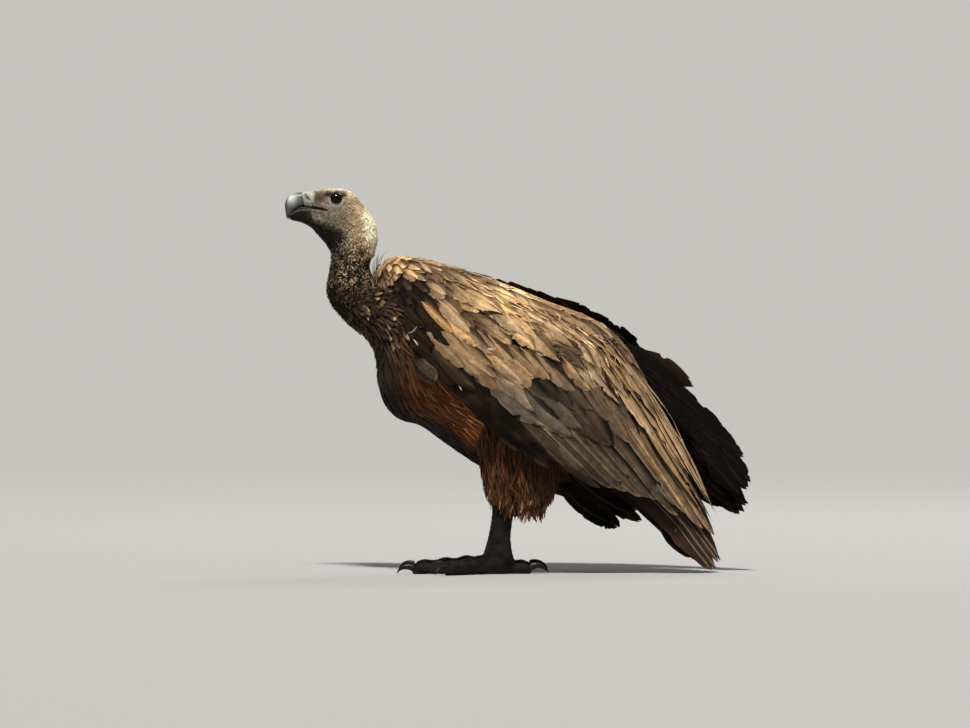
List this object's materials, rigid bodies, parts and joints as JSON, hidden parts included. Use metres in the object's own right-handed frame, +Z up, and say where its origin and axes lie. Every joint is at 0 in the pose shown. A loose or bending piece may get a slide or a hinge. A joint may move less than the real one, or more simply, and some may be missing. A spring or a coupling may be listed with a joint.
{
  "type": "white-backed vulture model",
  "caption": "Life-size standing vulture with folded wings drooped to the floor, a long downy neck, a deep hooked bill and bare clawed feet.",
  "frame": {"origin": "on the floor under the middle of the bird's box, wings and tail included", "axes": "+X from the bill towards the tail, so the bird faces -X; +Y towards its right side; +Z up from the floor it stands on"},
  "size_m": [0.6566, 0.2378, 0.5377],
  "materials": {
    "skin": "matt",
    "bill": "satin",
    "eye": "gloss",
    "neck_down": "matt",
    "body_plumage": "matt",
    "coverts": "matt",
    "secondaries": "matt",
    "primaries": "satin",
    "tail_feathers": "satin",
    "leg": "matt",
    "claw": "satin"
  },
  "bodies": {
    "root": {"head": "skin", "bill_upper": "bill", "bill_lower": "bill", "eye_left": "eye", "eye_right": "eye", "neck": "neck_down", "trunk": "body_plumage", "tail": "tail_feathers", "thigh_left": "body_plumage", "shank_left": "leg", "foot_left": "leg", "claw_left_middle": "claw", "claw_left_inner": "claw", "claw_left_outer": "claw", "claw_left_hind": "claw", "wing_left_arm": "coverts", "wing_left_secondaries": "secondaries", "wing_left_primaries": "primaries", "thigh_right": "body_plumage", "shank_right": "leg", "foot_right": "leg", "claw_right_middle": "claw", "claw_right_inner": "claw", "claw_right_outer": "claw", "claw_right_hind": "claw", "wing_right_arm": "coverts", "wing_right_secondaries": "secondaries", "wing_right_primaries": "primaries"}
  },
  "joints": []
}
